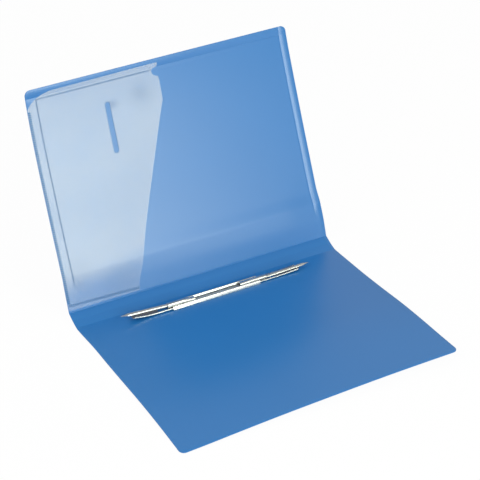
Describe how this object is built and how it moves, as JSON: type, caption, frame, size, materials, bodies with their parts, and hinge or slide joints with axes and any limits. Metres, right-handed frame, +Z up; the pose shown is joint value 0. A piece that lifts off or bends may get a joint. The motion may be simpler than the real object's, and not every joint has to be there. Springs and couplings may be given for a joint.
{
  "type": "plastic fastener folder",
  "caption": "A4 report folder: one folded plastic sheet with a spine and standing front cover, a clear inside pocket and a steel prong fastener with slide locks.",
  "frame": {"origin": "centre of the back cover's underside, on the table", "axes": "+X along the spine to the reader's right, +Y from the back cover's free edge to the spine, +Z up"},
  "size_m": [0.31, 0.3443, 0.2319],
  "materials": {
    "blue_sheet": "satin coloured polypropylene sheet",
    "clear_film": "clear slightly hazy film",
    "nickel_steel": "bright nickel plate"
  },
  "bodies": {
    "back": {"back_cover": "blue_sheet", "prong_strip": "nickel_steel", "compressor_rail": "nickel_steel", "rivets": "nickel_steel"},
    "spine": {"spine": "blue_sheet"},
    "front": {"front_cover": "blue_sheet", "pocket_film": "clear_film"},
    "left_lock": {"left_slide_lock": "nickel_steel"},
    "right_lock": {"right_slide_lock": "nickel_steel"}
  },
  "joints": [
    {"name": "spine_crease", "type": "hinge", "parent": "back", "child": "spine", "pos_m": [0, 0.121, 0.00035], "axis": [1, 0, 0], "range_deg": [-23.2, 66.8]},
    {"name": "front_crease", "type": "hinge", "parent": "spine", "child": "front", "pos_m": [0, 0.13938, 0.00823], "axis": [1, 0, 0], "range_deg": [-46.3, 43.7]},
    {"name": "left_lock_slide", "type": "slide", "parent": "back", "child": "left_lock", "axis": [1, 0, 0], "range_m": [0, 0.025]},
    {"name": "right_lock_slide", "type": "slide", "parent": "back", "child": "right_lock", "axis": [-1, 0, 0], "range_m": [0, 0.025]}
  ]
}
